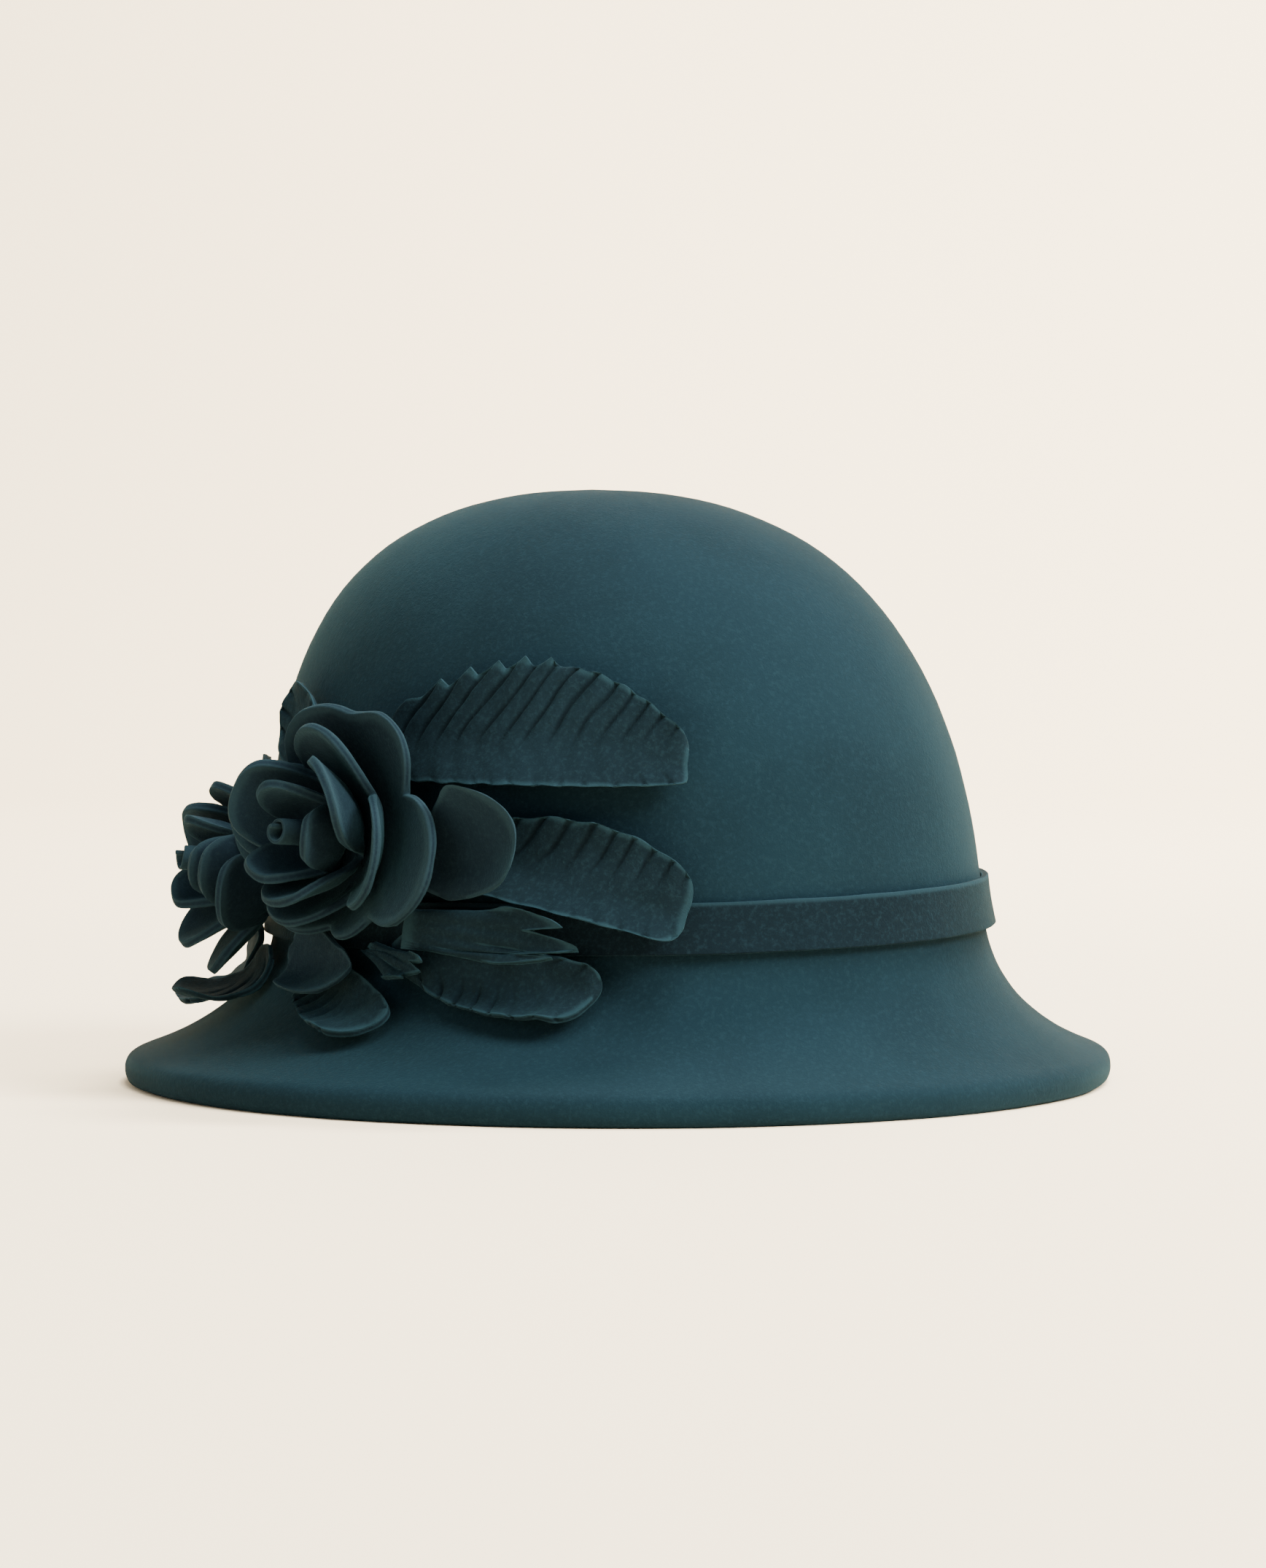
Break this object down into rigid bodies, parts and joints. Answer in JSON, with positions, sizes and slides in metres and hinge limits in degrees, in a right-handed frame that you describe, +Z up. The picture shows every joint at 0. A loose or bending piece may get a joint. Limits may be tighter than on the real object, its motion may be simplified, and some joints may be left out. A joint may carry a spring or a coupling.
{
  "type": "cloche hat",
  "caption": "Felt cloche hat with a rounded crown, a flared brim with a rolled edge, a cut felt band, and felt leaves and flowers at the wearer's right.",
  "frame": {"origin": "middle of the brim's outline, on the plane that the brim rests on", "axes": "+Z up through the crown, -Y towards the wearer's front, -X towards the wearer's right, where the flowers are"},
  "size_m": [0.2592, 0.2528, 0.151],
  "materials": {
    "body_felt": "matte teal wool felt with a short nap",
    "band_felt": "matte teal wool felt, cut edges",
    "leaf_felt": "matte dark teal wool felt, pressed pleats and cut edges",
    "petal_felt": "matte dark teal wool felt, soft cut edges"
  },
  "bodies": {
    "root": {"felt_body": "body_felt", "hat_band": "band_felt", "leaf_upper": "leaf_felt", "leaf_middle": "leaf_felt", "leaf_lower": "leaf_felt", "leaf_between": "leaf_felt", "leaf_back_upper": "leaf_felt", "leaf_back_lower": "leaf_felt", "leaf_back_tip": "leaf_felt", "leaf_brim": "leaf_felt", "petal_front": "petal_felt", "petal_low": "petal_felt", "fan_lower": "leaf_felt", "fan_front": "leaf_felt", "upper_flower_petals_1": "petal_felt", "upper_flower_petals_2": "petal_felt", "upper_flower_petals_3": "petal_felt", "upper_flower_petals_4": "petal_felt", "upper_flower_heart": "petal_felt", "lower_flower_petals_1": "petal_felt", "lower_flower_petals_2": "petal_felt", "lower_flower_petals_3": "petal_felt", "lower_flower_heart": "petal_felt"}
  },
  "joints": []
}
